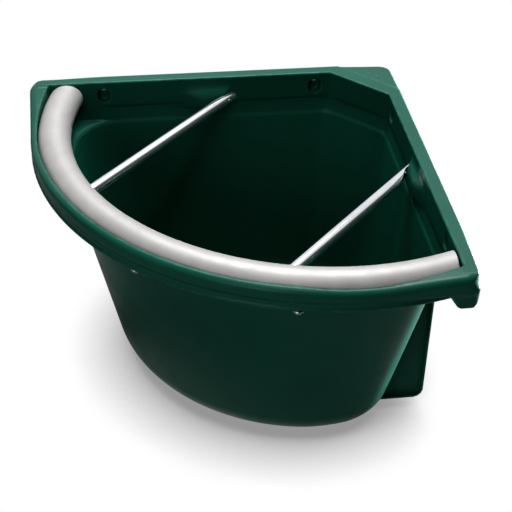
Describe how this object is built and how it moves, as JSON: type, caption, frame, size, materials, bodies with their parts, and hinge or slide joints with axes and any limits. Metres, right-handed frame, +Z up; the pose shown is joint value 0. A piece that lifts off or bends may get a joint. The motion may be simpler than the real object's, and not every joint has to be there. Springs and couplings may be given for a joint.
{
  "type": "corner feed trough",
  "caption": "Moulded corner feed trough with a bent steel guard tube around its front lip and straight steel anti-waste bars across its mouth.",
  "frame": {"origin": "centre of the trough's square footprint, level with the underside of its bowl", "axes": "+X points into the right wall and +Y into the back wall, whose faces are the planes x = 0.281 m and y = 0.281 m; +Z is up; the horse stands towards -X -Y"},
  "size_m": [0.562, 0.562, 0.386],
  "materials": {
    "moulded_plastic": "satin gloss moulded polyethylene, dark green",
    "galvanised_tube": "smooth satin galvanised",
    "polished_bar": "bright polished steel",
    "fasteners": "bright zinc"
  },
  "bodies": {
    "root": {"trough_body": "moulded_plastic", "guard_tube": "galvanised_tube", "waste_bar_right": "polished_bar", "waste_bar_left": "polished_bar", "bar_screw_right": "fasteners", "bar_screw_left": "fasteners", "tube_screw_centre": "fasteners", "tube_screw_right": "fasteners", "tube_screw_left": "fasteners", "tube_washer_centre": "fasteners", "tube_washer_right": "fasteners", "tube_washer_left": "fasteners"}
  },
  "joints": []
}
